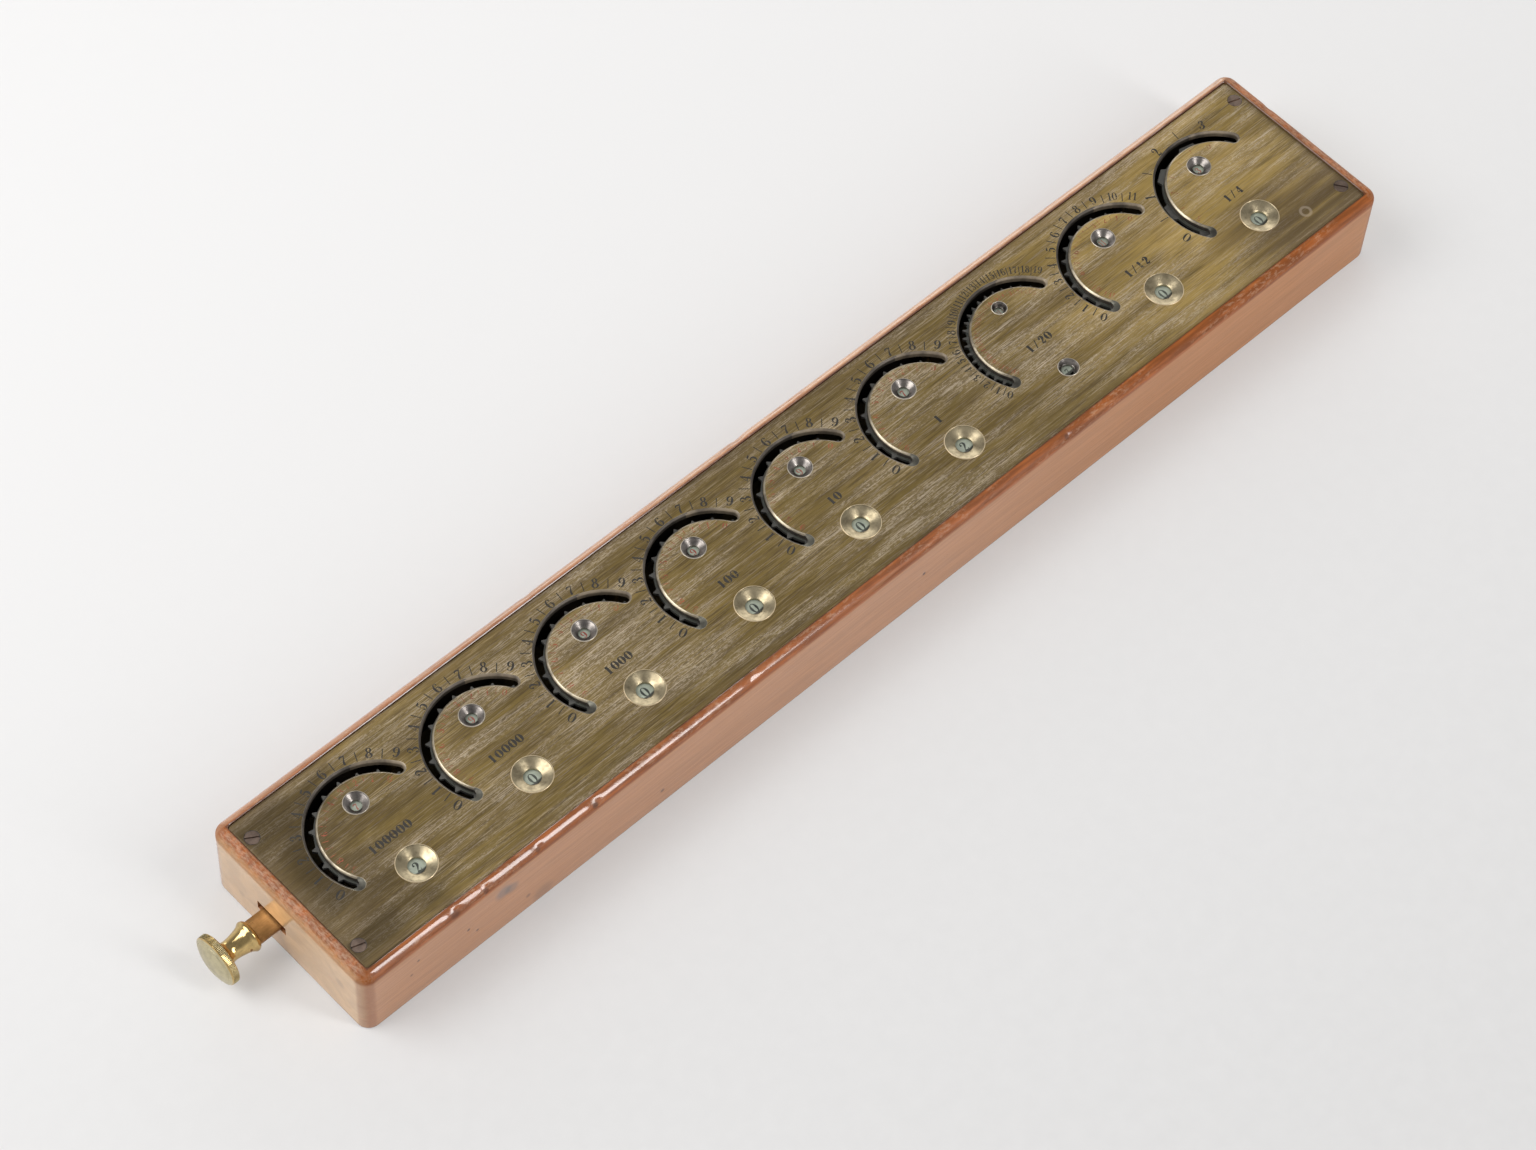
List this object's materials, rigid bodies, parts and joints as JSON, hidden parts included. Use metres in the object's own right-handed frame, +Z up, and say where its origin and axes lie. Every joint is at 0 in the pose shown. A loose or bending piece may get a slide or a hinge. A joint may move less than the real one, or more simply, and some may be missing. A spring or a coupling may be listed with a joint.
{
  "type": "stylus adding machine",
  "caption": "Long wooden box with a brass face plate of stylus dials in C-shaped slots over toothed number wheels, round digit windows and a pull knob that resets them.",
  "frame": {"origin": "middle of the case's underside, on the surface it stands on", "axes": "+X along the case towards the smallest dial, the knob at -X; +Y to the back; +Z up"},
  "size_m": [0.4288, 0.0654, 0.0288],
  "materials": {
    "polished_wood": "french polish over reddish hardwood, worn at the edges",
    "plate_brass": "aged lacquered brass, brushed lengthwise",
    "silvered_brass": "dull silvered brass",
    "movement_brass": "plain machined brass",
    "bar_brass": "browned brass",
    "knob_brass": "turned and lacquered brass",
    "spring_steel": "ground steel",
    "screw_steel": "browned steel"
  },
  "bodies": {
    "case": {"wooden_case": "polished_wood", "face_plate": "plate_brass", "corner_screws": "screw_steel", "wheel_arbors": "spring_steel", "arbor_nuts": "movement_brass", "lever_studs": "spring_steel", "lever_springs": "spring_steel", "jumper_studs": "spring_steel", "jumper_springs": "spring_steel", "lower_frame_plate": "movement_brass", "pillars": "movement_brass", "pillar_screws": "spring_steel", "bar_keepers": "movement_brass"},
    "hundred_thousands_wheel": {"hundred_thousands_number_wheel": "silvered_brass", "hundred_thousands_hub": "movement_brass"},
    "ten_thousands_wheel": {"ten_thousands_number_wheel": "silvered_brass", "ten_thousands_carry_cam": "movement_brass"},
    "thousands_wheel": {"thousands_number_wheel": "silvered_brass", "thousands_carry_cam": "movement_brass"},
    "hundreds_wheel": {"hundreds_number_wheel": "silvered_brass", "hundreds_carry_cam": "movement_brass"},
    "tens_wheel": {"tens_number_wheel": "silvered_brass", "tens_carry_cam": "movement_brass"},
    "units_wheel": {"units_number_wheel": "silvered_brass", "units_carry_cam": "movement_brass"},
    "shillings_wheel": {"shillings_number_wheel": "silvered_brass", "shillings_carry_cam": "movement_brass"},
    "pence_wheel": {"pence_number_wheel": "silvered_brass", "pence_carry_cam": "movement_brass"},
    "farthings_wheel": {"farthings_number_wheel": "silvered_brass", "farthings_carry_cam": "movement_brass"},
    "ten_thousands_lever": {"ten_thousands_carry_lever": "spring_steel"},
    "thousands_lever": {"thousands_carry_lever": "spring_steel"},
    "hundreds_lever": {"hundreds_carry_lever": "spring_steel"},
    "tens_lever": {"tens_carry_lever": "spring_steel"},
    "units_lever": {"units_carry_lever": "spring_steel"},
    "shillings_lever": {"shillings_carry_lever": "spring_steel"},
    "pence_lever": {"pence_carry_lever": "spring_steel"},
    "farthings_lever": {"farthings_carry_lever": "spring_steel"},
    "hundred_thousands_click": {"hundred_thousands_jumper": "spring_steel"},
    "ten_thousands_click": {"ten_thousands_jumper": "spring_steel"},
    "thousands_click": {"thousands_jumper": "spring_steel"},
    "hundreds_click": {"hundreds_jumper": "spring_steel"},
    "tens_click": {"tens_jumper": "spring_steel"},
    "units_click": {"units_jumper": "spring_steel"},
    "shillings_click": {"shillings_jumper": "spring_steel"},
    "pence_click": {"pence_jumper": "spring_steel"},
    "farthings_click": {"farthings_jumper": "spring_steel"},
    "zero_bar": {"pull_bar": "bar_brass", "zeroing_lugs": "bar_brass", "knob": "knob_brass", "knob_pin": "spring_steel"}
  },
  "joints": [
    {"name": "hundred_thousands_turn", "type": "hinge", "parent": "case", "child": "hundred_thousands_wheel", "pos_m": [-0.1683, 0.0022, 0.0256], "axis": [0, 0, 1], "continuous": true},
    {"name": "ten_thousands_turn", "type": "hinge", "parent": "case", "child": "ten_thousands_wheel", "pos_m": [-0.1261, 0.0022, 0.0256], "axis": [0, 0, 1], "continuous": true},
    {"name": "thousands_turn", "type": "hinge", "parent": "case", "child": "thousands_wheel", "pos_m": [-0.0839, 0.0022, 0.0256], "axis": [0, 0, 1], "continuous": true},
    {"name": "hundreds_turn", "type": "hinge", "parent": "case", "child": "hundreds_wheel", "pos_m": [-0.0417, 0.0022, 0.0256], "axis": [0, 0, 1], "continuous": true},
    {"name": "tens_turn", "type": "hinge", "parent": "case", "child": "tens_wheel", "pos_m": [0.0005, 0.0022, 0.0256], "axis": [0, 0, 1], "continuous": true},
    {"name": "units_turn", "type": "hinge", "parent": "case", "child": "units_wheel", "pos_m": [0.0427, 0.0022, 0.0256], "axis": [0, 0, 1], "continuous": true},
    {"name": "shillings_turn", "type": "hinge", "parent": "case", "child": "shillings_wheel", "pos_m": [0.0849, 0.0022, 0.0256], "axis": [0, 0, 1], "continuous": true},
    {"name": "pence_turn", "type": "hinge", "parent": "case", "child": "pence_wheel", "pos_m": [0.1271, 0.0022, 0.0256], "axis": [0, 0, 1], "continuous": true},
    {"name": "farthings_turn", "type": "hinge", "parent": "case", "child": "farthings_wheel", "pos_m": [0.1693, 0.0022, 0.0256], "axis": [0, 0, 1], "continuous": true},
    {"name": "ten_thousands_carry", "type": "hinge", "parent": "case", "child": "ten_thousands_lever", "pos_m": [-0.1399, -0.01646, 0.0237], "axis": [0, 0, 1], "range_deg": [-5, 0.5]},
    {"name": "thousands_carry", "type": "hinge", "parent": "case", "child": "thousands_lever", "pos_m": [-0.0977, -0.01646, 0.0237], "axis": [0, 0, 1], "range_deg": [-5, 0.5]},
    {"name": "hundreds_carry", "type": "hinge", "parent": "case", "child": "hundreds_lever", "pos_m": [-0.0555, -0.01646, 0.0237], "axis": [0, 0, 1], "range_deg": [-5, 0.5]},
    {"name": "tens_carry", "type": "hinge", "parent": "case", "child": "tens_lever", "pos_m": [-0.0133, -0.01646, 0.0237], "axis": [0, 0, 1], "range_deg": [-5, 0.5]},
    {"name": "units_carry", "type": "hinge", "parent": "case", "child": "units_lever", "pos_m": [0.0289, -0.01646, 0.0237], "axis": [0, 0, 1], "range_deg": [-5, 0.5]},
    {"name": "shillings_carry", "type": "hinge", "parent": "case", "child": "shillings_lever", "pos_m": [0.0711, -0.01646, 0.0237], "axis": [0, 0, 1], "range_deg": [-5, 0.5]},
    {"name": "pence_carry", "type": "hinge", "parent": "case", "child": "pence_lever", "pos_m": [0.1133, -0.01646, 0.0237], "axis": [0, 0, 1], "range_deg": [-5, 0.5]},
    {"name": "farthings_carry", "type": "hinge", "parent": "case", "child": "farthings_lever", "pos_m": [0.1555, -0.01646, 0.0237], "axis": [0, 0, 1], "range_deg": [-5, 0.5]},
    {"name": "hundred_thousands_hold", "type": "hinge", "parent": "case", "child": "hundred_thousands_click", "pos_m": [-0.14781, -0.00798, 0.0256], "axis": [0, 0, 1], "range_deg": [-7, 0.5]},
    {"name": "ten_thousands_hold", "type": "hinge", "parent": "case", "child": "ten_thousands_click", "pos_m": [-0.10561, -0.00798, 0.0256], "axis": [0, 0, 1], "range_deg": [-7, 0.5]},
    {"name": "thousands_hold", "type": "hinge", "parent": "case", "child": "thousands_click", "pos_m": [-0.06341, -0.00798, 0.0256], "axis": [0, 0, 1], "range_deg": [-7, 0.5]},
    {"name": "hundreds_hold", "type": "hinge", "parent": "case", "child": "hundreds_click", "pos_m": [-0.02121, -0.00798, 0.0256], "axis": [0, 0, 1], "range_deg": [-7, 0.5]},
    {"name": "tens_hold", "type": "hinge", "parent": "case", "child": "tens_click", "pos_m": [0.02099, -0.00798, 0.0256], "axis": [0, 0, 1], "range_deg": [-7, 0.5]},
    {"name": "units_hold", "type": "hinge", "parent": "case", "child": "units_click", "pos_m": [0.06319, -0.00798, 0.0256], "axis": [0, 0, 1], "range_deg": [-7, 0.5]},
    {"name": "shillings_hold", "type": "hinge", "parent": "case", "child": "shillings_click", "pos_m": [0.10453, -0.00956, 0.0256], "axis": [0, 0, 1], "range_deg": [-7, 0.5]},
    {"name": "pence_hold", "type": "hinge", "parent": "case", "child": "pence_click", "pos_m": [0.14732, -0.00851, 0.0256], "axis": [0, 0, 1], "range_deg": [-7, 0.5]},
    {"name": "farthings_hold", "type": "hinge", "parent": "case", "child": "farthings_click", "pos_m": [0.18145, -0.01718, 0.0256], "axis": [0, 0, 1], "range_deg": [-7, 0.5]},
    {"name": "zero_pull", "type": "slide", "parent": "case", "child": "zero_bar", "axis": [-1, 0, 0], "range_m": [-0.0065, 0.0098]}
  ]
}
